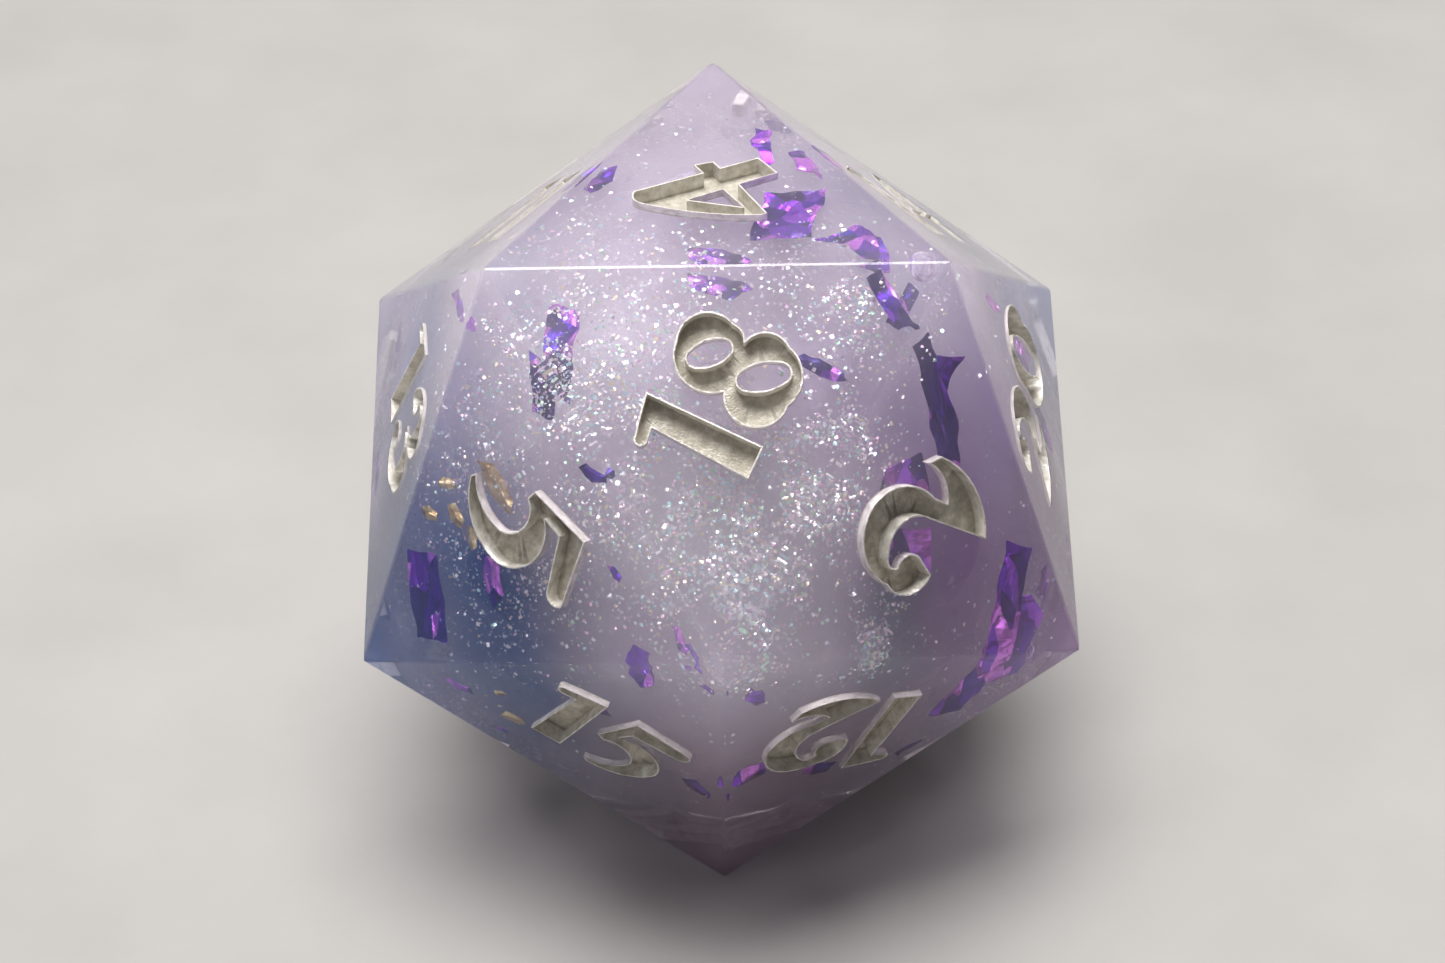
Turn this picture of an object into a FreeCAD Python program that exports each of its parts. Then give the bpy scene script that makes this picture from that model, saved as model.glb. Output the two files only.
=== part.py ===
import FreeCAD, Part
import math
import os

# Twenty-sided die cast in resin, lying on the face numbered 17 with the face numbered 4 on top.
# Millimetres, +Z up, origin under the die's centre on the surface that it rests on.

Vector = FreeCAD.Vector
Rotation = FreeCAD.Rotation
Placement = FreeCAD.Placement

doc = FreeCAD.newDocument("polyhedral_die")

# ---------------------------------------------------------------- driving dimensions

SIZES = {
    "across_flats": 20.0,       # from any face to the opposite one
    "edge_flat": 0.20,          # width of the hairline flat that polishing leaves on each edge
    "single_height": 4.3,       # height of a one-digit numeral
    "pair_height": 3.7,         # height of a two-digit numeral
    "engraving_depth": 0.55,    # numerals are cut square to their face
    "paint_film": 0.04,         # thickness of the paint on an engraving's floor and walls
    "paint_recess": 0.02,       # the paint stops this far below the face
    "foil_film": 0.06,          # violet foil
    "leaf_film": 0.04,          # gold leaf
    "flake_across": 0.32,       # glitter platelet, corner to corner
    "flake_film": 0.05,         # glitter platelet thickness
    "cloud_cover": 2.7,         # least resin between the glitter cloud and any face
    "bubble_size": 0.8,         # diameter of the larger air bubble
}
GLITTER_FLAKES = 90
LAYOUT_FLATS = 20.0             # across-flats size at which the inclusions' places are written

sheet = doc.addObject("Spreadsheet::Sheet", "sizes")
for row, (alias, value) in enumerate(SIZES.items(), start=1):
    sheet.set(f"A{row}", alias)
    sheet.set(f"B{row}", str(value))
    sheet.setAlias(f"B{row}", alias)
doc.recompute()


def size(alias):
    return float(sheet.get(alias))


# ---------------------------------------------------------------- the icosahedron

GOLDEN = (1 + math.sqrt(5)) / 2
INRADIUS = size("across_flats") / 2
EDGE = INRADIUS * 2 * math.sqrt(3) / GOLDEN ** 2
CIRCUMRADIUS = EDGE * math.sqrt(GOLDEN * math.sqrt(5)) / 2
MIDRADIUS = EDGE * GOLDEN / 2
FACE_INRADIUS = EDGE * math.sqrt(3) / 6
POLAR_RING = EDGE / math.sqrt(3)
EQUATOR_RING = POLAR_RING * GOLDEN
EQUATOR_RISE = math.sqrt(CIRCUMRADIUS ** 2 - EQUATOR_RING ** 2)
HALF_TURN = math.acos(INRADIUS / MIDRADIUS)     # between a face's normal and an edge flat's
CENTRE = Vector(0, 0, INRADIUS)
LAYOUT = size("across_flats") / LAYOUT_FLATS


def ring(names, first_angle, radius, height):
    """Three corners of the die, 120 degrees apart on one horizontal circle."""
    corners = {}
    for turn, name in enumerate(names):
        angle = math.radians(first_angle + 120 * turn)
        corners[name] = Vector(radius * math.cos(angle), radius * math.sin(angle), INRADIUS + height)
    return corners


CORNERS = {
    **ring("ABD", 210, POLAR_RING, INRADIUS),
    **ring("CIH", 270, EQUATOR_RING, EQUATOR_RISE),
    **ring("EFJ", 210, EQUATOR_RING, -EQUATOR_RISE),
    **ring("GKL", 270, POLAR_RING, -INRADIUS),
}

# The numeral on each face and the face's corners. The numeral's head points to the first corner.
FACES = {
    1: "HLE", 2: "CBF", 3: "JLK", 4: "ABD", 5: "CAE", 6: "IDJ", 7: "ELG", 8: "IKF", 9: "JHD", 10: "FKG",
    11: "DAH", 12: "GFC", 13: "AHE", 14: "DBI", 15: "CGE",
    16: "JKI", 17: "KLG", 18: "ABC", 19: "LJH", 20: "BIF",
}


def face_centre(number):
    first, second, third = (CORNERS[name] for name in FACES[number])
    return (first + second + third) / 3


def axes_placement(origin, x_axis, y_axis, z_axis):
    return Placement(origin, Rotation(x_axis, y_axis, z_axis, "ZXY"))


def face_site(number, right, up, depth=0.0):
    """A frame under a face: +Z out of the die, +Y to the numeral's head, and its origin at depth."""
    middle = face_centre(number)
    outward = (middle - CENTRE).normalize()
    head = (CORNERS[FACES[number][0]] - middle).normalize()
    side = head.cross(outward)
    return axes_placement(middle + side * right + head * up - outward * depth, side, head, outward)


def edge_site(near_face, far_face, share, depth):
    """A frame under an edge: +Z out of the die, +Y along the edge, +X towards near_face."""
    start, end = (CORNERS[name] for name in FACES[near_face] if name in FACES[far_face])
    along = (end - start).normalize()
    outward = (start + end - CENTRE * 2).normalize()
    across = along.cross(outward)
    if across.dot(face_centre(near_face) - start) < 0:
        across = across * -1
        along = along * -1
        start, end, share = end, start, 1 - share
    return axes_placement(start + (end - start) * share - outward * depth, across, along, outward)


def flat_polygon(points):
    return Part.Face(Part.makePolygon(list(points) + [points[0]]))


def casting_blank():
    """Icosahedron with a hairline flat along each edge, so each corner is five flats to a point."""
    half_flat = size("edge_flat") / 2
    inset = half_flat / math.cos(HALF_TURN) / FACE_INRADIUS
    tip_share = 1 - half_flat * math.tan(HALF_TURN) / MIDRADIUS
    tips = {name: CENTRE + (point - CENTRE) * tip_share for name, point in CORNERS.items()}
    inner = {}
    for number, names in FACES.items():
        middle = face_centre(number)
        for name in names:
            inner[number, name] = CORNERS[name] + (middle - CORNERS[name]) * inset
    polygons = [flat_polygon([inner[number, name] for name in names]) for number, names in FACES.items()]
    for one in FACES:
        for other in FACES:
            shared = [name for name in FACES[one] if name in FACES[other]]
            if one < other and len(shared) == 2:
                start, end = shared
                polygons.append(flat_polygon([
                    tips[start], inner[one, start], inner[one, end],
                    tips[end], inner[other, end], inner[other, start],
                ]))
    return Part.Solid(Part.Shell(polygons))


# ---------------------------------------------------------------- numeral outlines
# Each digit is a list of closed loops on a grid where it is 100 high and centred on zero. A loop is a
# start point and its stretches: (x, y) is a straight line to that point, and (mid_x, mid_y, x, y) is an arc
# through the middle point. An oval is (centre_x, centre_y, long_radius, short_radius, angle).

DIGITS = {
    "0": [
        [(-5, 50), (26, 38, 33, -2), (30, -38, 5, -50), (-26, -38, -33, 2), (-30, 38, -5, 50)],
        ("oval", 0, 0, 37, 14, 107),
    ],
    "1": [[(-13, -50), (14, -48), (8, 50), (-9, 46, -26, 41), (-31, 35, -24, 31), (-14, 33), (-13, -50)]],
    "2": [[
        (-33, 6), (-37, 25, -20, 41), (8, 50, 36, 30), (37, 8, 14, -17), (5, -25),
        (25, -28, 39, -21), (37, -33), (3, -50, -35, -45), (5, -6), (11, 18, -2, 32),
        (-9, 34, -14, 29), (-10, 17, -20, 9), (-33, 6),
    ]],
    "3": [[
        (-31, 30), (-8, 50, 18, 42), (30, 22, 12, 6), (35, -15, 20, -41), (-6, -52, -33, -38),
        (-35, -25, -24, -21), (-14, -25, -13, -35), (7, -34, 10, -19), (5, -5, -9, -1), (-10, 6),
        (6, 15, 6, 30), (-2, 40, -11, 35), (-9, 24, -20, 20), (-30, 21, -31, 30),
    ]],
    "4": [
        [
            (-42, -12), (-12, 28, 14, 50), (24, 50, 29, 45), (25, -6), (37, -6), (34, -20), (24, -20),
            (22, -49), (-2, -50), (-1, -20), (-42, -17), (-42, -12),
        ],
        [(0, 20), (-1, -7), (-27, -7), (0, 20)],
    ],
    "5": [[
        (-20, 50), (31, 49), (34, 41, 26, 34), (-13, 30), (-18, 16), (12, 18, 30, -9),
        (18, -34, -16, -50), (-20, -46), (1, -31, 7, -14), (0, -1, -19, 2), (-25, -2), (-32, 2), (-20, 50),
    ]],
    "6": [
        [
            (25, 50), (-21, 32, -33, -12), (-24, -44, 1, -50), (31, -40, 33, -14), (24, 9, 3, 12),
            (-4, 10, -9, 5), (2, 28, 28, 43), (25, 50),
        ],
        ("oval", 2, -19, 21, 12, 118),
    ],
    "7": [[
        (-30, 50), (33, 50), (30, 34), (8, 0, 2, -50), (-22, -49), (-14, -4, 8, 31), (-18, 30),
        (-24, 18), (-32, 22), (-30, 50),
    ]],
    "8": [
        [
            (-22, -1), (-31, 23, -5, 50), (24, 44, 28, 18), (26, 9, 20, 4), (36, -10, 33, -28),
            (16, -49, -8, -49), (-36, -33, -22, -1),
        ],
        ("oval", -1, 23, 18, 10, -40),
        ("oval", 3, -22, 21, 11, -48),
    ],
    "9": [
        [
            (-25, -50), (21, -32, 33, 12), (24, 44, -1, 50), (-31, 40, -33, 14), (-24, -9, -3, -12),
            (4, -10, 9, -5), (-2, -28, -28, -43), (-25, -50),
        ],
        ("oval", -2, 19, 21, 12, 118),
    ],
    "bar": [[(-28, -60), (28, -60), (26, -68), (-30, -68), (-28, -60)]],
}
DIGIT_SIDES = {
    "0": (-34, 34), "1": (-31, 14), "2": (-37, 40), "3": (-35, 31), "4": (-42, 37),
    "5": (-32, 34), "6": (-33, 33), "7": (-32, 33), "8": (-35, 36), "9": (-33, 33),
}
DIGIT_GAP = 10                  # between the two digits of a numeral, on the same grid
UNDERLINED = (6, 9)             # told apart by a bar under the numeral


def loop_curves(loop, scale, shift):
    """The curves of one loop of a digit, in millimetres."""
    def point(x, y):
        return Vector(x * scale + shift, y * scale, 0)

    if loop[0] == "oval":
        centre_x, centre_y, long_radius, short_radius, angle = loop[1:]
        turn = math.radians(angle)

        def rim(degrees):
            along = long_radius * math.cos(math.radians(degrees))
            across = short_radius * math.sin(math.radians(degrees))
            return point(
                centre_x + along * math.cos(turn) - across * math.sin(turn),
                centre_y + along * math.sin(turn) + across * math.cos(turn),
            )

        quarters = (0, 90, 180, 270)
        return [Part.Arc(rim(middle - 45), rim(middle), rim(middle + 45)) for middle in quarters]
    curves = []
    here = loop[0]
    for stretch in loop[1:]:
        end = stretch[-2:]
        if len(stretch) == 2:
            curves.append(Part.LineSegment(point(*here), point(*end)))
        else:
            curves.append(Part.Arc(point(*here), point(*stretch[:2]), point(*end)))
        here = end
    return curves


def numeral_layout(number):
    """The glyphs of a numeral, each with its scale and its sideways shift in millimetres."""
    digits = str(number)
    height = size("single_height") if len(digits) == 1 else size("pair_height")
    scale = height / 100
    if len(digits) == 1:
        left, right = DIGIT_SIDES[digits]
        shift = -(left + right) / 2 * scale
        glyphs = [(digits, scale, shift)]
        if number in UNDERLINED:
            glyphs.append(("bar", scale, shift))
        return glyphs
    total = sum(DIGIT_SIDES[digit][1] - DIGIT_SIDES[digit][0] for digit in digits) + DIGIT_GAP
    pen = -total / 2
    glyphs = []
    for digit in digits:
        left, right = DIGIT_SIDES[digit]
        glyphs.append((digit, scale, (pen - left) * scale))
        pen += right - left + DIGIT_GAP
    return glyphs


# ---------------------------------------------------------------- document objects

def add_sketch(name, curves, placement):
    sketch = doc.addObject("Sketcher::SketchObject", name)
    for curve in curves:
        sketch.addGeometry(curve)
    sketch.Placement = placement
    return sketch


def add_extrusion(name, base, direction, forward, backward=None, symmetric=False):
    """Part::Extrusion whose lengths are bound to the sheet."""
    extrusion = doc.addObject("Part::Extrusion", name)
    extrusion.Base = base
    extrusion.DirMode = "Custom"
    extrusion.Dir = direction
    extrusion.Solid = True
    extrusion.Symmetric = symmetric
    extrusion.setExpression("LengthFwd", forward)
    if backward:
        extrusion.setExpression("LengthRev", backward)
    return extrusion


def add_compound(name, links):
    compound = doc.addObject("Part::Compound", name)
    compound.Links = links
    return compound


def inset_face(outline_face, distance):
    """The same outline pulled in all round, with holes grown by as much."""
    return outline_face.makeOffset2D(-distance, join=0, fill=False, openResult=False, intersection=True)


def add_numeral(number):
    """The tools that cut one numeral, and the paint film that lines it."""
    site = face_site(number, 0, 0)
    inward = site.Rotation.multVec(Vector(0, 0, -1))
    cutters = []
    films = []
    for place, (glyph, scale, shift) in enumerate(numeral_layout(number)):
        tag = f"numeral_{number:02d}_{place}"
        curves = []
        for loop in DIGITS[glyph]:
            curves += loop_curves(loop, scale, shift)
        outline = add_sketch(f"{tag}_outline", curves, site)
        outline.recompute()
        cutters.append(add_extrusion(f"{tag}_cut", outline, inward, "sizes.engraving_depth"))
        lining = add_extrusion(
            f"{tag}_lining", outline, inward, "sizes.engraving_depth", "-sizes.paint_recess",
        )
        face = Part.makeFace(outline.Shape.Wires, "Part::FaceMakerBullseye")
        inset = doc.addObject("Part::Feature", f"{tag}_inset")
        inset.Shape = inset_face(face, size("paint_film"))
        hollow = add_extrusion(f"{tag}_hollow", inset, inward, "sizes.engraving_depth - sizes.paint_film")
        film = doc.addObject("Part::Cut", f"{tag}_film")
        film.Base = lining
        film.Tool = hollow
        films.append(film)
    label = f"paint_{number:02d}"
    add_compound(label, films).Label = label
    return cutters


def fold_curves(ridge, film):
    """Closed outline of a creased film: ridge holds (distance, height) points across the creases."""
    top = [Vector(distance, height, 0) for distance, height in ridge]
    bottom = [Vector(distance, height - film, 0) for distance, height in reversed(ridge)]
    points = top + bottom + top[:1]
    return [Part.LineSegment(start, end) for start, end in zip(points, points[1:])]


def add_film(name, site, outline, crease, ridge, film_alias):
    """A thin film cut to an outline and creased across the direction at angle crease."""
    corners = [Vector(x, y, 0) for x, y in outline]
    edges = [Part.LineSegment(start, end) for start, end in zip(corners, corners[1:] + corners[:1])]
    plan = add_sketch(f"{name}_plan", edges, site)
    upward = site.Rotation.multVec(Vector(0, 0, 1))
    column = add_extrusion(f"{name}_column", plan, upward, "sizes.across_flats", symmetric=True)
    across = Rotation(Vector(0, 0, 1), crease)
    upright = Rotation(Vector(1, 0, 0), 90)
    section_place = site.multiply(Placement(Vector(), across.multiply(upright)))
    section = add_sketch(f"{name}_section", fold_curves(ridge, size(film_alias)), section_place)
    sweep_axis = section_place.Rotation.multVec(Vector(0, 0, 1))
    creased_sheet = add_extrusion(f"{name}_sheet", section, sweep_axis, "sizes.across_flats", symmetric=True)
    film = doc.addObject("Part::MultiCommon", f"{name}_film")
    film.Shapes = [column, creased_sheet]
    return film


# ---------------------------------------------------------------- violet foil
# Places are (face, right, up, depth) or (near face, far face, share of the edge, depth), in millimetres on
# a die of LAYOUT_FLATS, and follow the die's size. Outlines and ridges are the shards' own shapes.

SHARDS = {
    "foil_beside_four": (
        ("face", 4, -1.5, -1.6, 1.05),
        [(1.5, -0.2), (0.8, -1.9), (-1.2, 0.0), (-0.8, 1.0), (-0.3, 1.5)],
        20, [(-3, -0.25), (-0.6, 0), (0.3, -0.3), (3, 0.1)],
    ),
    "foil_comma": (
        ("face", 4, 2.1, -3.1, 0.75),
        [(1.0, -0.2), (0.6, -0.55), (-0.2, 0.0), (-1.0, 0.3), (-1.1, 0.65), (0.2, 0.45)],
        0, [(-2, -0.1), (0.2, 0.05), (2, -0.3)],
    ),
    "foil_crumple": (
        ("face", 4, -3.8, -2.5, 0.85),
        [(0.8, 1.0), (0.7, -0.4), (-0.1, -0.8), (-1.2, -0.4), (-0.9, 0.3), (0.1, 0.2)],
        60, [(-3, 0.2), (-0.7, -0.1), (-0.2, 0.2), (0.4, -0.15), (3, 0.3)],
    ),
    "foil_fork_left": (
        ("face", 18, 5.0, -2.8, 0.75),
        [(0.7, 0.65), (0.2, 0.85), (-0.6, -0.65), (-0.25, -0.95)],
        -30, [(-2, -0.3), (0, 0), (2, -0.4)],
    ),
    "foil_fork_right": (
        ("face", 18, 5.25, -3.1, 1.35),
        [(0.5, 0.05), (0.45, -0.35), (-0.8, -0.3), (-0.75, 0.1)],
        90, [(-2, 0.2), (-0.1, 0), (2, 0.4)],
    ),
    "foil_long_strip": (
        ("face", 2, 2.9, -2.3, 1.0),
        [(2.0, -0.5), (1.8, 0.1), (0.6, 0.2), (-1.6, 0.6), (-2.2, -0.1), (-0.9, -0.45), (0.7, -0.6)],
        90, [(-2, -0.3), (-0.1, 0), (0.1, -0.12), (2, 0.3)],
    ),
    "foil_flap": (
        ("face", 2, 3.75, -2.95, 0.6),
        [(0.5, 0.3), (-0.6, 0.35), (0.0, -0.6)],
        90, [(-2, 0.2), (0, 0), (2, 0.1)],
    ),
    "foil_behind_two": (
        ("face", 2, 0.95, -0.6, 1.65),
        [(-0.1, 1.45), (0.75, 0.3), (0.55, -0.9), (-1.05, -0.75), (-0.6, 0.5)],
        30, [(-2, -0.3), (-0.3, 0), (0.3, -0.3), (2, 0.15)],
    ),
    "foil_two_curl": (
        ("face", 2, -1.0, -0.1, 2.0),
        [(1.1, 0.8), (0.2, -1.0), (-0.9, -0.4), (-1.0, 0.4), (0.1, 0.9)],
        140, [(-2, -0.3), (-0.4, 0.1), (0.5, 0.1), (2, -0.3)],
    ),
    "foil_bent_band": (
        ("edge", 2, 12, 0.80, 0.8),
        [(2.9, 0.3), (2.7, -0.6), (0.0, -0.45), (-2.7, -0.2), (-2.9, 0.9), (0.0, 0.65)],
        0, [(-3.3, -1.2), (-0.3, -0.02), (0.2, -0.02), (3.3, -1.2)],
    ),
    "foil_band_shadow": (
        ("edge", 2, 12, 0.88, 1.7),
        [(1.1, -0.2), (0.5, -0.7), (-1.0, -0.6), (-1.5, 0.2), (-0.3, 0.9), (0.9, 0.5)],
        40, [(-2, -0.7), (-0.2, 0.1), (2, -0.5)],
    ),
    "foil_indigo": (
        ("face", 5, 3.6, -2.75, 0.85),
        [(-0.9, -1.05), (-1.35, 0.0), (1.0, 1.3), (1.4, 0.15)],
        122, [(-2, -0.2), (-0.15, 0), (0.1, -0.18), (2, 0.2)],
    ),
    "foil_haze": (
        ("edge", 18, 5, 0.22, 1.9),
        [(1.2, 0.8), (0.5, 1.3), (-1.1, -0.9), (-0.6, -1.5), (0.2, -0.6)],
        35, [(-2, -0.5), (0, 0), (2, -0.6)],
    ),
    "foil_behind_zero": (
        ("face", 20, 2.1, -0.2, 1.1),
        [(-0.9, 0.9), (0.3, 1.2), (1.0, -0.2), (0.5, -1.2), (-0.8, -0.7)],
        65, [(-2, -0.2), (-0.2, 0.05), (0.3, -0.2), (2, 0.1)],
    ),
}

# Slivers: node, face, right, up, depth, length, width, angle of the length from the face's right.
SLIVERS = [
    ("foil_chips", 5, 1.8, 4.7, 1.05, 1.3, 0.9, 20),
    ("foil_chips", 5, 0.5, 5.6, 1.5, 0.9, 0.4, 50),
    ("foil_chips", 5, 0.5, 6.2, 1.1, 0.7, 0.25, 60),
    ("foil_chips", 15, 0.6, 5.4, 0.95, 0.5, 0.25, 0),
    ("foil_sliver_by_eight", 18, 2.4, -2.0, 1.15, 1.8, 0.45, -85),
    ("foil_chips", 12, 1.9, 2.3, 0.9, 1.3, 0.9, 60),
    ("foil_chips", 12, -0.8, 2.35, 1.2, 1.1, 0.6, 20),
    ("foil_chips", 12, 4.0, -1.7, 1.0, 1.2, 0.5, -35),
    ("foil_chips", 15, 3.5, -0.4, 1.3, 1.2, 0.6, -15),
    ("foil_chips", 15, -0.65, 0.65, 1.2, 0.9, 0.5, 30),
    ("foil_chips", 15, -3.9, -2.5, 0.9, 0.9, 0.4, 10),
    ("foil_chips", 5, -0.35, 3.05, 1.0, 0.6, 0.25, 70),
    ("foil_chips", 18, -3.2, 2.0, 1.1, 1.0, 0.35, -85),
    ("foil_sliver_by_thirteen", 13, -0.9, 4.6, 1.0, 2.2, 0.5, 33),
    ("foil_under_four", 4, -1.6, 0.8, 2.1, 2.0, 1.0, 36),
    ("foil_sliver_by_twenty", 20, 1.9, 2.7, 0.9, 1.5, 0.4, -70),
    ("foil_under_twenty", 20, 0.6, -2.4, 1.1, 1.9, 0.8, -107),
    ("foil_by_gold", 5, 2.2, -0.9, 1.5, 1.6, 0.7, 35),
    ("foil_by_fourteen", 14, -1.8, 2.2, 1.1, 2.0, 1.1, 40),
    ("foil_by_eleven", 11, 2.0, 1.4, 1.2, 1.6, 0.9, 120),
    ("foil_by_nine", 9, -1.5, 1.5, 1.0, 2.4, 1.2, 75),
    ("foil_by_six", 6, 1.8, -1.0, 1.1, 1.8, 0.8, -30),
    ("foil_by_sixteen", 16, 0.5, 2.0, 1.0, 1.5, 0.9, 15),
    ("foil_by_nineteen", 19, -1.0, -1.8, 1.1, 2.0, 0.7, 60),
    ("foil_chips", 1, 1.5, 1.5, 1.0, 1.4, 0.8, 100),
    ("foil_by_eight", 8, -1.5, -1.5, 1.0, 1.9, 0.9, 45),
    ("foil_chips", 3, 1.2, 1.8, 1.1, 1.2, 0.5, 150),
    ("foil_chips", 10, -1.4, 1.2, 1.0, 1.0, 0.6, 80),
    ("foil_chips", 7, 0.9, 2.4, 1.2, 1.1, 0.4, 25),
]

# Gold leaf, in the same order as the slivers.
LEAVES = [
    ("gold_leaf", 5, 1.3, -3.4, 0.9, 0.7, 0.4, 80),
    ("gold_leaf", 5, 0.9, -2.6, 1.0, 0.9, 0.5, 60),
    ("gold_leaf", 5, 1.3, -1.9, 1.2, 0.8, 0.4, 30),
    ("gold_leaf", 5, 0.3, -3.3, 1.4, 0.7, 0.4, 110),
    ("gold_leaf", 5, -0.4, -1.8, 1.7, 1.9, 0.7, 60),
    ("gold_leaf", 15, -2.0, -2.5, 0.9, 0.8, 0.5, 20),
    ("gold_leaf", 15, -2.9, -1.7, 1.2, 0.4, 0.3, 70),
]


def scaled_site(place):
    """The frame of a place written for a die of LAYOUT_FLATS."""
    if place[0] == "edge":
        near_face, far_face, share, depth = place[1:]
        return edge_site(near_face, far_face, share, depth)
    number, right, up, depth = place[1:]
    return face_site(number, right * LAYOUT, up * LAYOUT, depth)


def sliver_outline(length, width, angle):
    """An irregular five-sided strip of the given size."""
    shape = [(-0.50, -0.20), (-0.30, 0.50), (0.35, 0.40), (0.50, -0.15), (0.05, -0.50)]
    turn = math.radians(angle)
    points = []
    for along, across in shape:
        x, y = along * length, across * width
        points.append((x * math.cos(turn) - y * math.sin(turn), x * math.sin(turn) + y * math.cos(turn)))
    return points


def sliver_ridge(length, width):
    """One crease along the sliver, a little off its middle."""
    span = max(length, width)
    return [(-span, -0.35 * span), (0.1 * width, 0), (span, -0.25 * span)]


def add_slivers(rows, film_alias):
    """One document object per node, holding each of that node's slivers as a separate solid."""
    films = {}
    for place, (node, number, right, up, depth, length, width, angle) in enumerate(rows):
        site = scaled_site(("face", number, right, up, depth))
        film = add_film(
            f"{node}_{place:02d}", site, sliver_outline(length, width, angle),
            angle + 90, sliver_ridge(length, width), film_alias,
        )
        films.setdefault(node, []).append(film)
    nodes = []
    for node, members in films.items():
        compound = add_compound(node, members)
        compound.Label = node
        nodes.append(compound)
    return nodes


def add_shards():
    nodes = []
    for node, (place, outline, crease, ridge) in SHARDS.items():
        film = add_film(node, scaled_site(place), outline, crease, ridge, "foil_film")
        film.Label = node
        nodes.append(film)
    return nodes


# ---------------------------------------------------------------- glitter and air

def spread(index, step):
    """Evenly spread numbers from 0 to 1."""
    return (0.5 + index * step) % 1.0


def add_glitter():
    """Six-sided platelets through the inside of the die, each turned its own way."""
    reach = INRADIUS - size("cloud_cover")
    flakes = []
    for index in range(GLITTER_FLAKES):
        height = 2 * spread(index, 0.8191725134) - 1
        turn = 2 * math.pi * spread(index, 0.6710436067)
        distance = reach * (0.25 + 0.75 * spread(index, 0.5497004779)) ** (1 / 3)
        flat = math.sqrt(1 - height ** 2)
        direction = Vector(flat * math.cos(turn), flat * math.sin(turn), height)
        flake = doc.addObject("Part::Prism", f"glitter_{index:02d}")
        flake.Polygon = 6
        flake.setExpression("Circumradius", "sizes.flake_across / 2")
        flake.setExpression("Height", "sizes.flake_film")
        tilt = Rotation(Vector(0, 0, 1), direction).multiply(Rotation(Vector(1, 0, 0), 137.5 * index))
        flake.Placement = Placement(CENTRE + direction * distance, tilt)
        flakes.append(flake)
    glitter = add_compound("glitter_flakes", flakes)
    glitter.Label = "glitter_flakes"
    return glitter


def add_bubbles():
    """Air bubbles: the larger one beside the forked foil, and two small ones."""
    places = [
        (("face", 18, 6.2, -3.2, 0.85), "sizes.bubble_size / 2"),
        (("face", 12, -5.0, -3.3, 0.6), "sizes.bubble_size / 5"),
        (("face", 9, 3.5, -2.0, 0.8), "sizes.bubble_size / 4"),
    ]
    bubbles = []
    for index, (place, radius) in enumerate(places):
        bubble = doc.addObject("Part::Sphere", f"bubble_{index}")
        bubble.setExpression("Radius", radius)
        bubble.Placement = Placement(scaled_site(place).Base, Rotation())
        bubbles.append(bubble)
    return bubbles


# ---------------------------------------------------------------- the die

def add_resin_body(cutters):
    blank = doc.addObject("Part::Feature", "casting_blank")
    blank.Shape = casting_blank()
    voids = add_compound("voids", cutters)
    body = doc.addObject("Part::Cut", "resin_body")
    body.Base = blank
    body.Tool = voids
    body.Label = "resin_body"
    return body


numeral_cutters = []
for numeral in FACES:
    numeral_cutters += add_numeral(numeral)
inclusions = add_shards() + add_slivers(SLIVERS, "foil_film") + add_slivers(LEAVES, "leaf_film")
inclusions.append(add_glitter())
add_resin_body(numeral_cutters + inclusions + add_bubbles())
doc.recompute()

# ---------------------------------------------------------------- checks and export

NODES = ["resin_body"] + [f"paint_{number:02d}" for number in FACES] + [item.Label for item in inclusions]

for item in doc.Objects:
    if "Invalid" in item.State or "Error" in item.State:
        raise RuntimeError(f"{item.Name} did not recompute: {item.State}")

os.makedirs("parts", exist_ok=True)
for node in NODES:
    shape = doc.getObjectsByLabel(node)[0].Shape
    if shape.isNull() or not shape.isValid() or not shape.Solids:
        raise RuntimeError(f"{node} has no valid solid")
    for solid in shape.Solids:
        if solid.Volume <= 0:
            raise RuntimeError(f"{node} holds an inside-out solid")

for node in NODES:
    doc.getObjectsByLabel(node)[0].Shape.exportStep(f"parts/{node}.step")
print(len(NODES), "nodes written")
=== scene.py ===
import itertools
import math
import random

import bmesh
import bpy
from mathutils import Matrix, Vector, noise


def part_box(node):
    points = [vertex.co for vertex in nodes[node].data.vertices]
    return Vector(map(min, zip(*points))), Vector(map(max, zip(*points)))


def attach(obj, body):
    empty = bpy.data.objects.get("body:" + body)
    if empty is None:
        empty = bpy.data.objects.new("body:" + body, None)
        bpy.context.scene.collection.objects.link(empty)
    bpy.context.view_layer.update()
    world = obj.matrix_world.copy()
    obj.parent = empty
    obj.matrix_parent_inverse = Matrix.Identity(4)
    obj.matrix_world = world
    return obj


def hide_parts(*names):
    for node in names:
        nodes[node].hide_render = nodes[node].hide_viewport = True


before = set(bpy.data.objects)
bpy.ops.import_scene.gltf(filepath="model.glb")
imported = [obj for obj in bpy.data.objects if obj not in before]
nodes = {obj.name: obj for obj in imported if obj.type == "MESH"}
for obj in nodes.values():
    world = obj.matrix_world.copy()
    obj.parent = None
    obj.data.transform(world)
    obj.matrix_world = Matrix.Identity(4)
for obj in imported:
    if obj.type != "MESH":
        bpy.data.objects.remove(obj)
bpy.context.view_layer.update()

# Twenty-sided die of milky lavender resin with violet foil, gold leaf and glitter in it.
# Metres, +Z up, origin under the die's centre on the floor.

scene = bpy.context.scene
MM = 0.001

# ---------------------------------------------------------------- the icosahedron

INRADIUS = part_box("resin_body")[1].z / 2
CENTRE = Vector((0, 0, INRADIUS))
GOLDEN = (1 + math.sqrt(5)) / 2
EDGE = INRADIUS * 2 * math.sqrt(3) / GOLDEN ** 2
POLAR_RING = EDGE / math.sqrt(3)
EQUATOR_RING = POLAR_RING * GOLDEN
EQUATOR_RISE = INRADIUS * (math.sqrt(5) - 2)


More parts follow.
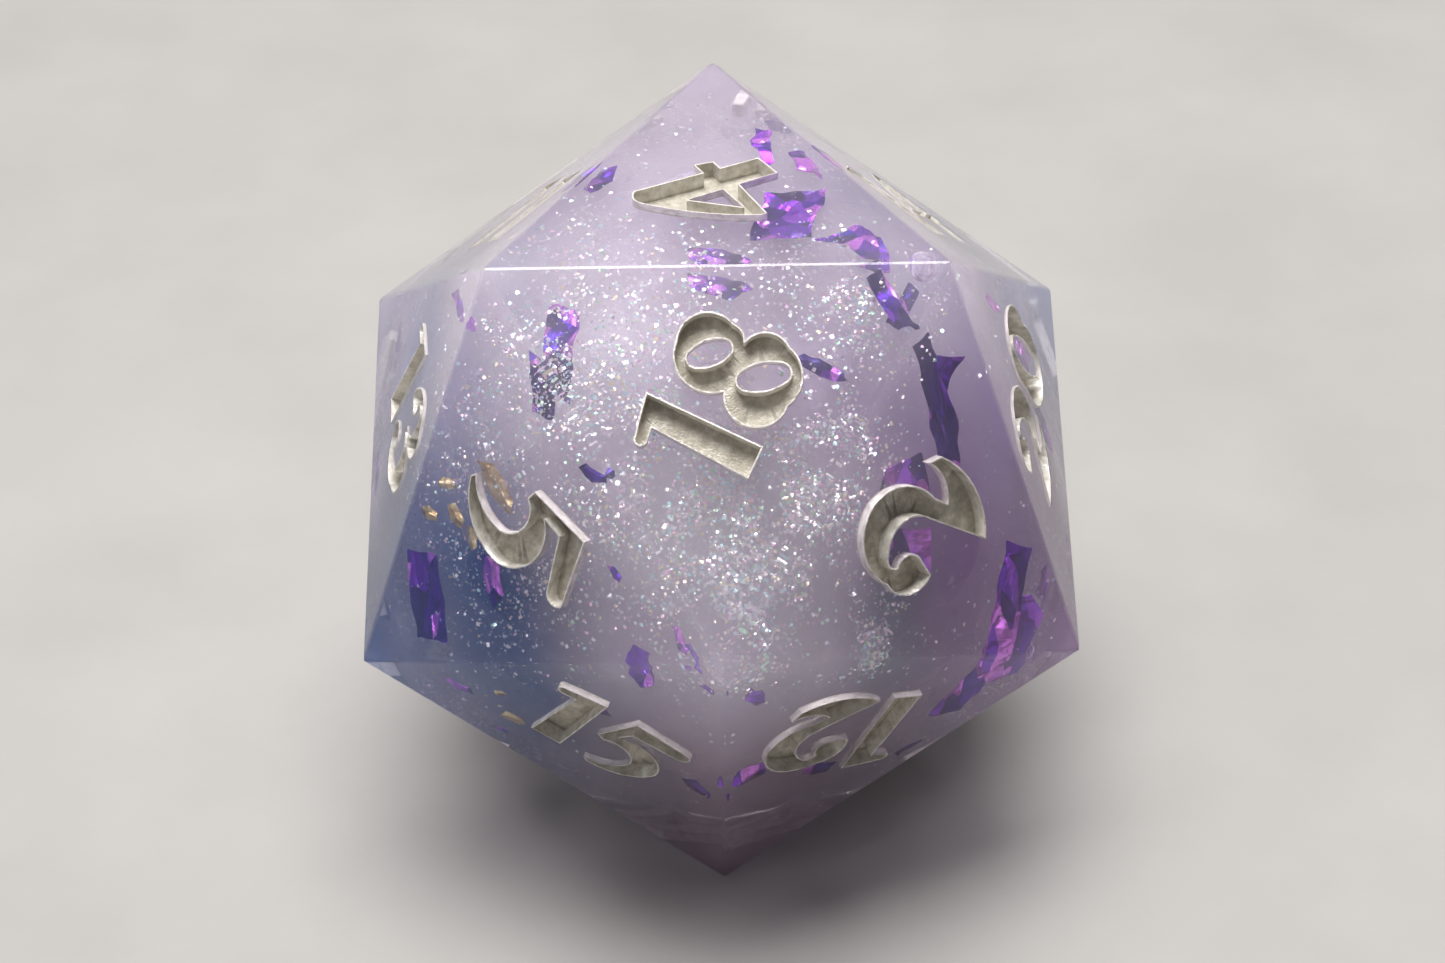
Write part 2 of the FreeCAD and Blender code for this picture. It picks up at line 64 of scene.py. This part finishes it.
def ring(first_angle, radius, height):
    """Three corners 120 degrees apart on a level circle, from the die's centre."""
    angles = [math.radians(first_angle + turn) for turn in (0, 120, 240)]
    return [Vector((radius * math.cos(angle), radius * math.sin(angle), height)) for angle in angles]


CORNERS = (
    ring(210, POLAR_RING, INRADIUS) + ring(270, EQUATOR_RING, EQUATOR_RISE)
    + ring(210, EQUATOR_RING, -EQUATOR_RISE) + ring(270, POLAR_RING, -INRADIUS)
)


NEIGHBOUR_REACH = 1.1           # of an edge: the next nearest corners are 1.6 edges apart


def are_neighbours(corners):
    pairs = itertools.combinations(corners, 2)
    return all((one - other).length < EDGE * NEIGHBOUR_REACH for one, other in pairs)


NORMALS = [
    sum(three, Vector()).normalized()
    for three in itertools.combinations(CORNERS, 3) if are_neighbours(three)
]


def depth_under_faces(point):
    """How deep a point, given from the die's centre, lies under the nearest face."""
    return INRADIUS - max(point.dot(normal) for normal in NORMALS)


# ---------------------------------------------------------------- material helpers

SWIRL_SIZE = 2.2 * MM           # of the ragged pushes that swirled() gives
CLOUD_CORE = 0.15               # share of a patch's reach inside which it is at its full strength


class Shader:
    """A node material under construction."""

    def __init__(self, name):
        self.material = bpy.data.materials.new(name)
        self.material.use_nodes = True
        self.tree = self.material.node_tree
        self.tree.nodes.clear()
        self.output = self.add("ShaderNodeOutputMaterial")
        self.place = self.add("ShaderNodeTexCoord").outputs["Object"]

    def add(self, kind, settings=None, **inputs):
        """A node, with its settings and what its sockets take: a value or another node's output."""
        node = self.tree.nodes.new(kind)
        for key, value in (settings or {}).items():
            setattr(node, key, value)
        for key, value in inputs.items():
            self.feed(node.inputs[key.replace("_", " ")], value)
        return node

    def feed(self, socket, value):
        if isinstance(value, bpy.types.NodeSocket):
            self.tree.links.new(value, socket)
        else:
            socket.default_value = value

    def noise(self, size, detail=3.0, rough=0.5, warp=0.0):
        """Noise from 0 to 1 whose features are about size metres across."""
        node = self.add("ShaderNodeTexNoise", Scale=1 / size, Detail=detail)
        self.feed(node.inputs["Roughness"], rough)
        self.feed(node.inputs["Distortion"], warp)
        self.feed(node.inputs["Vector"], self.place)
        return node.outputs["Fac"]

    def ramp(self, factor, *stops):
        """A colour ramp through (position, colour or grey) stops."""
        node = self.add("ShaderNodeValToRGB", Fac=factor)
        elements = node.color_ramp.elements
        while len(elements) < len(stops):
            elements.new(1.0)
        for element, (position, colour) in zip(elements, stops):
            element.position = position
            element.color = (*colour, 1) if isinstance(colour, tuple) else (colour, colour, colour, 1)
        return node.outputs["Color"]

    def math(self, operation, first, second=0.0, clamp=True):
        node = self.add("ShaderNodeMath", {"operation": operation, "use_clamp": clamp})
        self.feed(node.inputs[0], first)
        self.feed(node.inputs[1], second)
        return node.outputs[0]

    def blend(self, factor, first, second):
        """Colour first where factor is 0, and second where it is 1."""
        node = self.add("ShaderNodeMix", {"data_type": "RGBA"})
        self.feed(node.inputs["Factor"], factor)
        for socket, value in ((node.inputs[6], first), (node.inputs[7], second)):
            self.feed(socket, (*value, 1) if isinstance(value, tuple) else value)
        return node.outputs[2]

    def swirled(self, push):
        """The object's coordinates, pushed about raggedly by as much as push metres."""
        swirl = self.add("ShaderNodeTexNoise", Scale=1 / SWIRL_SIZE, Detail=3.0)
        self.feed(swirl.inputs["Vector"], self.place)
        warped = self.add("ShaderNodeVectorMath", {"operation": "MULTIPLY_ADD"})
        self.feed(warped.inputs[0], swirl.outputs["Color"])
        self.feed(warped.inputs[1], (2 * push, 2 * push, 2 * push))
        self.feed(warped.inputs[2], self.place)
        back = self.add("ShaderNodeVectorMath", {"operation": "SUBTRACT"})
        self.feed(back.inputs[0], warped.outputs[0])
        self.feed(back.inputs[1], (push, push, push))
        return back.outputs[0]

    def patch(self, place, centre, reach):
        """1 near a point of the die, in millimetres from its centre, fading to 0 at reach millimetres."""
        away = self.add("ShaderNodeVectorMath", {"operation": "DISTANCE"})
        self.feed(away.inputs[0], place)
        self.feed(away.inputs[1], CENTRE + Vector(centre) * MM)
        near = self.add("ShaderNodeMapRange", {"interpolation_type": "SMOOTHSTEP"})
        self.feed(near.inputs["Value"], away.outputs["Value"])
        self.feed(near.inputs["From Min"], reach * MM)
        self.feed(near.inputs["From Max"], CLOUD_CORE * reach * MM)
        return near.outputs["Result"]

    def bump(self, height, distance):
        return self.add("ShaderNodeBump", Height=height, Distance=distance, Strength=1.0).outputs[0]

    def mix(self, factor, first, second):
        node = self.add("ShaderNodeMixShader", Fac=factor)
        self.feed(node.inputs[1], first)
        self.feed(node.inputs[2], second)
        return node.outputs[0]

    def finish(self, surface, volume=None):
        self.feed(self.output.inputs["Surface"], surface)
        if volume:
            self.feed(self.output.inputs["Volume"], volume)
        return self.material


def principled(shader, **inputs):
    return shader.add("ShaderNodeBsdfPrincipled", **inputs).outputs[0]


def dress(piece, material):
    piece.data.materials.clear()
    piece.data.materials.append(material)


# ---------------------------------------------------------------- the resin's colours

# Tinted clouds in the resin: (x, y, z) and reach in millimetres from the die's centre, strength, colour.
CLOUDS = [
    ((0.0, -8.0, 4.5), 5.0, 0.8, (0.86, 0.84, 0.90)),
    ((-3.5, -4.5, 7.5), 4.0, 0.8, (0.86, 0.84, 0.90)),
    ((-9.5, -5.5, -2.5), 9.5, 1.9, (0.015, 0.05, 0.24)),
    ((-10.0, 2.0, 2.5), 7.5, 1.2, (0.10, 0.15, 0.40)),
    ((8.5, -5.5, -1.0), 8.0, 1.3, (0.28, 0.13, 0.38)),
    ((1.5, -7.5, -8.5), 8.0, 1.2, (0.66, 0.42, 0.56)),
    ((7.5, -3.5, 4.0), 5.5, 1.2, (0.22, 0.12, 0.34)),
    ((4.5, -6.8, -0.8), 2.8, 1.0, (0.08, 0.20, 0.27)),
    ((4.5, -4.5, 5.5), 3.5, 0.7, (0.44, 0.34, 0.54)),
    ((7.5, 6.0, 1.0), 7.5, 1.3, (0.08, 0.12, 0.38)),
    ((-5.0, 8.0, -4.0), 7.5, 1.2, (0.36, 0.20, 0.44)),
    ((-1.0, 4.0, -8.5), 6.5, 1.1, (0.06, 0.12, 0.36)),
]
CLOUD_EDGE = 1.8 * MM           # how far the clouds' outlines are pushed about
PIGMENT = [(0.30, (0.52, 0.43, 0.62)), (0.55, (0.70, 0.63, 0.77)), (0.75, (0.84, 0.81, 0.88))]
PIGMENT_SWIRLS = 3.5 * MM


def milk_colour(shader):
    """The cloudy colour of the resin's pigment at any point of the die."""
    swirls = shader.noise(PIGMENT_SWIRLS, detail=3.0, rough=0.55, warp=0.4)
    colour = shader.ramp(swirls, *PIGMENT)
    place = shader.swirled(CLOUD_EDGE)
    for centre, reach, strength, tint in CLOUDS:
        share = shader.math("MULTIPLY", shader.patch(place, centre, reach), strength)
        colour = shader.blend(share, colour, tint)
    return colour


# ---------------------------------------------------------------- resin

WELD = 1e-7
CAVITY_VERTS = 100              # an inclusion's cavity has fewer, and a bubble or the outside more
SHARP = math.radians(30)
# Haze through the resin: (distance from the die's centre in millimetres, share of the densest haze).
HAZE = [(7.0, 1.0), (8.6, 0.15), (10.3, 0.13), (12.2, 0.55)]
DENSEST_HAZE = 650.0            # per metre
FARTHEST = 12.5                 # millimetres
PIGMENT_GAMMA = 0.45            # scattering many times deepens a colour, so the volume's is paler
CLEAR_COLOUR = (0.97, 0.94, 1.0, 1)
SHADOW_TINT = (0.93, 0.91, 0.95, 1)     # what a face lets through from the lamps
REFRACTION = 1.5
POLISH = [(0.35, 0.03), (0.7, 0.11)]    # roughness
MILK_SHARE = [(0.3, 0.035), (0.75, 0.11)]
WAVE_SIZE = 4 * MM
WAVE_HEIGHT = 0.35              # of RELIEF
SCRATCH_SIZE = 0.25 * MM
SCRATCH_HEIGHT = 0.06
RELIEF = 0.02 * MM


def islands(bm):
    """The separate closed surfaces of a mesh, each a list of its vertices."""
    left = set(bm.verts)
    while left:
        stack = [left.pop()]
        island = []
        while stack:
            vert = stack.pop()
            island.append(vert)
            for edge in vert.link_edges:
                other = edge.other_vert(vert)
                if other in left:
                    left.remove(other)
                    stack.append(other)
        yield island


def link(name, bm, rides_on="root"):
    mesh = bpy.data.meshes.new(name)
    bm.to_mesh(mesh)
    bm.free()
    piece = bpy.data.objects.new(name, mesh)
    scene.collection.objects.link(piece)
    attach(piece, rides_on)
    return piece


def build_resin():
    """The cast resin and its air bubbles. The cavities that the inclusions fill are left out."""
    bm = bmesh.new()
    bm.from_mesh(nodes["resin_body"].data)
    bmesh.ops.remove_doubles(bm, verts=bm.verts, dist=WELD)
    cavities = [island for island in islands(bm) if len(island) < CAVITY_VERTS]
    bmesh.ops.delete(bm, geom=[vert for island in cavities for vert in island], context="VERTS")
    for face in bm.faces:
        face.smooth = True
    for edge in bm.edges:
        edge.smooth = edge.calc_face_angle(0) < SHARP
    resin = link("cast_resin", bm)
    weighted = resin.modifiers.new("flat faces, rounded edges", "WEIGHTED_NORMAL")
    weighted.weight = 100
    weighted.keep_sharp = True
    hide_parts("resin_body")
    dress(resin, resin_material())


def resin_material():
    shader = Shader("milky_resin")
    milkiness = shader.noise(2.5 * MM, detail=3.0, warp=0.3)
    scratches = shader.noise(SCRATCH_SIZE, detail=2.0)
    waves = shader.noise(WAVE_SIZE, detail=1.0)
    polish = shader.ramp(shader.noise(1.5 * MM, detail=4.0), *POLISH)
    relief = shader.math(
        "ADD",
        shader.math("MULTIPLY", waves, WAVE_HEIGHT),
        shader.math("MULTIPLY", scratches, SCRATCH_HEIGHT),
    )
    normal = shader.bump(relief, RELIEF)
    pigment = milk_colour(shader)
    clear = principled(
        shader, Base_Color=CLEAR_COLOUR, Transmission_Weight=1.0, IOR=REFRACTION,
        Roughness=polish, Normal=normal,
    )
    milk = principled(shader, Base_Color=pigment, Roughness=polish, IOR=REFRACTION, Normal=normal)
    cast = shader.mix(shader.ramp(milkiness, *MILK_SHARE), clear, milk)
    light_path = shader.add("ShaderNodeLightPath")
    passing = shader.add("ShaderNodeBsdfTransparent", Color=SHADOW_TINT).outputs[0]
    surface = shader.mix(light_path.outputs["Is Shadow Ray"], cast, passing)
    away = shader.add("ShaderNodeVectorMath", {"operation": "DISTANCE"})
    shader.feed(away.inputs[0], shader.place)
    shader.feed(away.inputs[1], CENTRE)
    share = shader.ramp(
        shader.math("DIVIDE", away.outputs["Value"], FARTHEST * MM),
        *[(distance / FARTHEST, haze) for distance, haze in HAZE],
    )
    density = shader.math("MULTIPLY", share, DENSEST_HAZE, clamp=False)
    volume_colour = shader.add("ShaderNodeGamma", Color=pigment, Gamma=PIGMENT_GAMMA)
    volume = shader.add("ShaderNodeVolumePrincipled", Color=volume_colour.outputs[0], Density=density)
    return shader.finish(surface, volume.outputs[0])


# ---------------------------------------------------------------- the milky heart

HEART_REACH = 0.58              # of the die's inradius
HEART_ROUNDING = 50             # the higher, the crisper its facets
BROAD_LUMPS = (0.09, 2.5)       # height as a share of the reach, and how many there are
FINE_LUMPS = (0.03, 6.0)
HEART_SCATTER = 1.5 * MM


def build_heart():
    """Denser pigment in the middle: the die's own shape, shrunk, softened and lumpy."""
    bm = bmesh.new()
    bmesh.ops.create_icosphere(bm, subdivisions=5, radius=1)
    for vert in bm.verts:
        way = vert.co.normalized()
        facets = sum(max(way.dot(normal), 0) ** HEART_ROUNDING for normal in NORMALS)
        facing = facets ** (1 / HEART_ROUNDING)
        broad, fine = (height * noise.noise(way * number) for height, number in (BROAD_LUMPS, FINE_LUMPS))
        lumps = 1 + broad + fine
        vert.co = CENTRE + way * (INRADIUS * HEART_REACH / facing * lumps)
    for face in bm.faces:
        face.smooth = True
    heart = link("milky_heart", bm)
    shader = Shader("milky_heart")
    normal = shader.bump(shader.noise(1.2 * MM, detail=4.0), 0.3 * MM)
    surface = principled(
        shader, Base_Color=milk_colour(shader), Roughness=0.7, Normal=normal,
        Subsurface_Weight=0.5, Subsurface_Radius=(1.0, 0.9, 1.1), Subsurface_Scale=HEART_SCATTER,
    )
    dress(heart, shader.finish(surface))


# ---------------------------------------------------------------- glitter

# Clouds of fine glitter: (x, y, z) and spread in millimetres from the die's centre, number of flakes.
GLITTER_CLOUDS = [
    ((-3.5, -1.5, 8.8), 1.6, 350), ((0.5, -2.0, 8.8), 1.3, 260), ((3.2, -3.0, 8.6), 1.0, 220),
    ((-5.0, -5.0, 7.6), 1.2, 500), ((-2.8, -4.6, 7.8), 1.5, 800), ((-3.2, -6.2, 6.4), 1.6, 900),
    ((-0.8, -7.8, 5.0), 1.5, 1200), ((0.3, -8.8, 3.9), 1.3, 1000), ((2.2, -8.0, 4.6), 1.2, 900),
    ((0.0, -10.0, 2.2), 1.2, 600), ((4.2, -3.8, 8.4), 0.9, 600), ((3.0, -6.6, 6.0), 0.9, 500),
    ((-7.4, -4.6, 3.6), 1.3, 500), ((-6.2, -6.6, 0.8), 1.4, 350), ((-4.4, -7.6, 2.4), 1.5, 450),
    ((4.2, -8.6, 0.4), 0.8, 350), ((5.0, 6.0, 4.5), 1.8, 1500), ((1.5, 8.5, 2.5), 1.5, 900),
    ((-4.5, 7.0, 4.0), 1.8, 1300), ((-7.5, 4.0, -1.5), 1.5, 800), ((7.0, -1.5, -4.5), 1.6, 900),
    ((-5.5, 1.5, -6.5), 1.7, 900), ((1.0, 7.5, -5.0), 1.9, 1200),
]
DUST = 2                        # fine flakes for each one counted in a cloud
CLUMPS = 0.9                    # per millimetre, how closely the clouds clot
STRAY_FLAKES = 4000
FLAKE_SIZES = (0.014, 0.088)    # half a flake's width, millimetres
FLAKE_THICKNESS = 0.012
FLAKE_DEPTHS = (0.68, 3.4)      # under the faces and clear of the numerals, millimetres
CLUMP_BLUR = 0.15               # how gradually the clots thin out
STRAY_REACH = (7.0, 12.0)       # from the die's centre, millimetres
FLAKE_TILT = 0.55               # how far a flake leans from lying flat under the surface
FLAKE_SKEW = 0.35               # radians, how far a corner strays from square
FLAKE_TRIM = (0.75, 1.15)       # each corner's reach, of the flake's half width
SMALL_FLAKES = 2.2              # the higher, the more flakes are near the smallest size
SEED = 181
TINTS = {
    "white": (0.52, (0.95, 0.93, 0.97)),
    "pink": (0.14, (1.00, 0.62, 0.86)),
    "cyan": (0.14, (0.55, 0.92, 1.00)),
    "green": (0.10, (0.62, 1.00, 0.72)),
    "gold": (0.10, (1.00, 0.86, 0.55)),
}
PLATELET_TINT = (0.58, 0.50, 0.70)


def cloud_points(rng):
    """Places of the fine flakes, from the die's centre in millimetres."""
    shallow, deep = FLAKE_DEPTHS
    for centre, spread, number in GLITTER_CLOUDS:
        made = 0
        while made < number * DUST:
            point = Vector(centre) + Vector([rng.gauss(0, spread) for _ in range(3)])
            clumped = noise.noise(point * CLUMPS) > rng.gauss(0, CLUMP_BLUR)
            if clumped and shallow < depth_under_faces(point * MM) / MM < deep:
                made += 1
                yield point
    made = 0
    while made < STRAY_FLAKES:
        way = Vector([rng.gauss(0, 1) for _ in range(3)]).normalized()
        point = way * rng.uniform(*STRAY_REACH)
        if shallow < depth_under_faces(point * MM) / MM < deep:
            made += 1
            yield point


def add_flake(bm, point, half_width, rng):
    """A four-cornered platelet, a little thicker in the middle."""
    tilt = Vector([rng.gauss(0, FLAKE_TILT) for _ in range(3)])
    normal = (point.normalized() + tilt).normalized()
    side = normal.orthogonal().normalized()
    side.rotate(Matrix.Rotation(rng.uniform(0, math.tau), 3, normal))
    across = normal.cross(side)
    middle = CENTRE + point * MM
    rim = []
    for turn in range(4):
        angle = math.tau * turn / 4 + rng.uniform(-FLAKE_SKEW, FLAKE_SKEW)
        reach = half_width * rng.uniform(*FLAKE_TRIM) * MM
        corner = middle + side * (math.cos(angle) * reach) + across * (math.sin(angle) * reach)
        rim.append(bm.verts.new(corner))
    rise = normal * (FLAKE_THICKNESS / 2 * MM)
    top = bm.verts.new(middle + rise)
    bottom = bm.verts.new(middle - rise)
    for one, other in zip(rim, rim[1:] + rim[:1]):
        bm.faces.new((one, other, top))
        bm.faces.new((other, one, bottom))


def glitter_material(name, tint):
    shader = Shader(name)
    sheen = shader.noise(0.3 * MM, detail=2.0)
    pale = tuple(0.5 + 0.5 * channel for channel in tint)
    colour = shader.ramp(sheen, (0.35, tint), (0.65, pale))
    return shader.finish(principled(shader, Base_Color=colour, Metallic=0.8, Roughness=0.28))


def build_glitter():
    rng = random.Random(SEED)
    names = list(TINTS)
    shares = [TINTS[name][0] for name in names]
    meshes = {name: bmesh.new() for name in names}
    smallest, largest = FLAKE_SIZES
    for point in cloud_points(rng):
        name = rng.choices(names, shares)[0]
        half_width = smallest + (largest - smallest) * rng.random() ** SMALL_FLAKES
        add_flake(meshes[name], point, half_width, rng)
    for name, bm in meshes.items():
        piece = link(f"fine_glitter_{name}", bm)
        dress(piece, glitter_material(f"glitter_{name}", TINTS[name][1]))
    dress(nodes["glitter_flakes"], glitter_material("glitter_platelets", PLATELET_TINT))


# ---------------------------------------------------------------- foil, leaf and paint

FOLD_SIZE = 1.1 * MM
FILM_CUTS = 3
FOIL_CRUMPLE = 0.22             # millimetres
LEAF_CRUMPLE = 0.16


def soften(piece, crumple):
    """Finer crumpling of a CAD film: both of its sides move together, so it keeps its thickness."""
    piece.modifiers.new("weld", "WELD").merge_threshold = WELD
    finer = piece.modifiers.new("finer", "SUBSURF")
    finer.subdivision_type = "SIMPLE"
    finer.levels = finer.render_levels = FILM_CUTS
    texture = bpy.data.textures.new(f"{piece.name}_crumple", "CLOUDS")
    texture.cloud_type = "COLOR"
    texture.noise_basis = "VORONOI_F2_F1"
    texture.noise_scale = FOLD_SIZE
    texture.noise_depth = 0
    bend = piece.modifiers.new("crumple", "DISPLACE")
    bend.texture = texture
    bend.texture_coords = "LOCAL"
    bend.direction = "RGB_TO_XYZ"
    bend.mid_level = 0.5
    bend.strength = crumple * MM
    for polygon in piece.data.polygons:
        polygon.use_smooth = False


FACET = (0.5, 0.5, 1.7)         # millimetres, how far a fold of the foil runs across and up
FACET_RAGGED = 0.25 * MM
FACET_TILT = 0.35 * MM
# Facet colours by a random share: indigo to violet is the film's own colour, and the last, pale
# magenta-pink stop is a painted highlight.
FOIL_TONES_AND_PAINTED_GLINTS = [
    (0.10, (0.008, 0.002, 0.14)), (0.42, (0.060, 0.004, 0.36)),
    (0.72, (0.24, 0.012, 0.70)), (0.92, (0.80, 0.24, 0.95)),
]
LEAF_TONES = [(0.35, (0.50, 0.34, 0.16)), (0.6, (0.85, 0.71, 0.40)), (0.75, (0.98, 0.91, 0.70))]
LEAF_WRINKLE = 0.3 * MM
LEAF_RELIEF = 0.1 * MM


def foil_material():
    """Violet metallised film: folded into facets from indigo to violet, each tilted its own way; the palest
    magenta-pink facets are painted highlights.
    """
    shader = Shader("violet_foil")
    grid = shader.add("ShaderNodeVectorMath", {"operation": "MULTIPLY"})
    shader.feed(grid.inputs[0], shader.swirled(FACET_RAGGED))
    shader.feed(grid.inputs[1], [1 / (reach * MM) for reach in FACET])
    folds = shader.add("ShaderNodeTexVoronoi", Vector=grid.outputs[0], Scale=1.0)
    tones = shader.add("ShaderNodeSeparateColor", Color=folds.outputs["Color"])
    # Painted highlight: the facets that draw the last stop are pale magenta-pink glints, not film colour.
    colour = shader.ramp(tones.outputs[0], *FOIL_TONES_AND_PAINTED_GLINTS)
    within = shader.add("ShaderNodeVectorMath", {"operation": "SUBTRACT"})
    shader.feed(within.inputs[0], grid.outputs[0])
    shader.feed(within.inputs[1], folds.outputs["Position"])
    lean = shader.add("ShaderNodeVectorMath", {"operation": "SUBTRACT"})
    shader.feed(lean.inputs[0], folds.outputs["Color"])
    shader.feed(lean.inputs[1], (0.5, 0.5, 0.5))
    slope = shader.add("ShaderNodeVectorMath", {"operation": "DOT_PRODUCT"})
    shader.feed(slope.inputs[0], within.outputs[0])
    shader.feed(slope.inputs[1], lean.outputs[0])
    surface = principled(
        shader, Base_Color=colour, Metallic=0.85, Roughness=0.2,
        Normal=shader.bump(slope.outputs["Value"], FACET_TILT), Coat_Weight=0.5, Coat_Roughness=0.1,
    )
    return shader.finish(surface)


def leaf_material():
    shader = Shader("gold_leaf")
    wrinkles = shader.noise(LEAF_WRINKLE, detail=4.0)
    colour = shader.ramp(wrinkles, *LEAF_TONES)
    relief = shader.bump(wrinkles, LEAF_RELIEF)
    return shader.finish(principled(shader, Base_Color=colour, Metallic=0.9, Roughness=0.35, Normal=relief))


def depth_below(shader):
    """The distance from the nearest of the die's faces down to the shaded point."""
    from_centre = shader.add("ShaderNodeVectorMath", {"operation": "SUBTRACT"})
    shader.feed(from_centre.inputs[0], shader.place)
    shader.feed(from_centre.inputs[1], CENTRE)
    furthest = 0.0
    for normal in NORMALS:
        out = shader.add("ShaderNodeVectorMath", {"operation": "DOT_PRODUCT"})
        shader.feed(out.inputs[0], from_centre.outputs[0])
        shader.feed(out.inputs[1], normal)
        furthest = shader.math("MAXIMUM", furthest, out.outputs["Value"])
    return shader.math("SUBTRACT", INRADIUS, furthest)


ENGRAVING = 0.55 * MM
# Painted light: one pewter paint, paler on the walls as lit rims and darker and browner on the floors as
# painted shade, blended by depth.
PAINTED_SHADE_BY_DEPTH = [(0.75, 0.0), (0.90, 1.0)]    # of its depth, from wall paint to floor paint
PAINTED_LIT_WALL_TONES = [(0.32, (0.52, 0.49, 0.44)), (0.5, (0.76, 0.73, 0.68)), (0.68, (0.92, 0.90, 0.87))]
PAINTED_SHADE_FLOOR_TONES = [(0.34, (0.42, 0.39, 0.33)), (0.5, (0.57, 0.53, 0.46)), (0.68, (0.75, 0.72, 0.65))]
PAINT_GLOSS = [(0.3, 0.55), (0.7, 0.36)]        # roughness
PAINT_RELIEF = 0.05 * MM
PAINT_KEY = 0.006               # how far the paint reaches into the resin, millimetres


def paint_material():
    """Warm pewter paint, mottled: painted paler and silvery on the walls as lit rims, and darker and
    browner on the floors as painted shade in the recesses.
    """
    shader = Shader("pewter_paint")
    mottle = shader.noise(0.35 * MM, detail=5.0, rough=0.65)
    grain = shader.noise(0.06 * MM, detail=2.0)
    wall = shader.ramp(mottle, *PAINTED_LIT_WALL_TONES)
    floor = shader.ramp(mottle, *PAINTED_SHADE_FLOOR_TONES)
    # Painted shade: deeper into the engraving the paint turns to the darker, browner floor tones.
    deep = shader.ramp(shader.math("DIVIDE", depth_below(shader), ENGRAVING), *PAINTED_SHADE_BY_DEPTH)
    relief = shader.math("ADD", shader.math("MULTIPLY", mottle, 0.6), shader.math("MULTIPLY", grain, 0.4))
    surface = principled(
        shader, Base_Color=shader.blend(deep, wall, floor), Metallic=0.3,
        Roughness=shader.ramp(mottle, *PAINT_GLOSS), Normal=shader.bump(relief, PAINT_RELIEF),
    )
    return shader.finish(surface)


def dress_films():
    foil = foil_material()
    leaf = leaf_material()
    paint = paint_material()
    for name, piece in nodes.items():
        if name.startswith("foil_"):
            soften(piece, FOIL_CRUMPLE)
            dress(piece, foil)
        elif name == "gold_leaf":
            soften(piece, LEAF_CRUMPLE)
            dress(piece, leaf)
        elif name.startswith("paint_"):
            piece.modifiers.new("weld", "WELD").merge_threshold = WELD
            key = piece.modifiers.new("key into the resin", "DISPLACE")
            key.strength = PAINT_KEY * MM
            key.mid_level = 0
            dress(piece, paint)


# ---------------------------------------------------------------- floor, light, camera

FLOOR_REACH = 1.5
FLOOR_TONES_PALE = [(0.3, (0.39, 0.38, 0.37)), (0.7, (0.43, 0.42, 0.41))]
LAMP_SPREAD = math.radians(90)


def build_floor():
    bm = bmesh.new()
    bmesh.ops.create_grid(bm, x_segments=1, y_segments=1, size=FLOOR_REACH)
    mesh = bpy.data.meshes.new("floor")
    bm.to_mesh(mesh)
    bm.free()
    floor = bpy.data.objects.new("floor", mesh)
    scene.collection.objects.link(floor)
    shader = Shader("pale_floor")
    colour = shader.ramp(shader.noise(8 * MM, detail=5.0), *FLOOR_TONES_PALE)
    mesh.materials.append(shader.finish(principled(shader, Base_Color=colour, Roughness=0.8)))


def add_softbox(name, place, size, power, colour):
    light = bpy.data.lights.new(name, "AREA")
    light.shape = "RECTANGLE"
    light.size, light.size_y = size
    light.energy = power
    light.color = colour
    light.spread = LAMP_SPREAD
    lamp = bpy.data.objects.new(name, light)
    scene.collection.objects.link(lamp)
    lamp.location = place
    lamp.rotation_euler = (CENTRE - Vector(place)).to_track_quat("-Z", "Y").to_euler()


# Each softbox: place and size in metres, power in watts, colour.
KEY = ((-0.02, 0.05, 0.33), (0.26, 0.20), 0.56, (1.0, 0.98, 0.95))
FILL = ((-0.30, -0.25, 0.20), (0.25, 0.25), 0.05, (0.95, 0.96, 1.0))
WORLD_COLOUR = (0.80, 0.82, 0.88, 1)
WORLD_LIGHT = 0.05
BACKDROP = 0.75                 # the world's strength where the camera looks straight at it


def build_lights():
    add_softbox("key", *KEY)
    add_softbox("fill", *FILL)
    world = bpy.data.worlds.new("studio")
    world.use_nodes = True
    background = world.node_tree.nodes["Background"]
    background.inputs["Color"].default_value = WORLD_COLOUR
    links = world.node_tree.links
    light_path = world.node_tree.nodes.new("ShaderNodeLightPath")
    strength = world.node_tree.nodes.new("ShaderNodeMapRange")
    strength.inputs["To Min"].default_value = WORLD_LIGHT
    strength.inputs["To Max"].default_value = BACKDROP
    links.new(light_path.outputs["Is Camera Ray"], strength.inputs["Value"])
    links.new(strength.outputs["Result"], background.inputs["Strength"])
    scene.world = world


AZIMUTH = math.radians(-0.49)
ELEVATION = math.radians(36.6)
ROLL = math.radians(0.56)
DISTANCE = 108.9 * MM
OFF_CENTRE = (-0.13 * MM, 0.38 * MM)    # the die's centre from the lens axis, to the right and up
LENS = 88.0                     # millimetres, as the next two are too
SENSOR = 36
NEAREST = 5.0                   # what is nearer to the camera isn't shown


def build_camera():
    camera = bpy.data.objects.new("camera", bpy.data.cameras.new("camera"))
    scene.collection.objects.link(camera)
    camera.data.lens = LENS
    camera.data.sensor_width = SENSOR
    camera.data.clip_start = NEAREST * MM
    turn = (
        Matrix.Rotation(AZIMUTH, 3, "Z") @ Matrix.Rotation(math.pi / 2 - ELEVATION, 3, "X")
        @ Matrix.Rotation(-ROLL, 3, "Z")
    )
    right, up, back = turn.col
    to_right, to_top = OFF_CENTRE
    place = CENTRE - right * to_right - up * to_top + back * DISTANCE
    camera.matrix_world = Matrix.Translation(place) @ turn.to_4x4()
    scene.camera = camera


build_resin()
build_heart()
build_glitter()
dress_films()
build_floor()
build_lights()
build_camera()
scene.cycles.volume_bounces = 2
scene.cycles.volume_step_rate = 3
scene.view_settings.view_transform = "Standard"

bpy.context.view_layer.update()
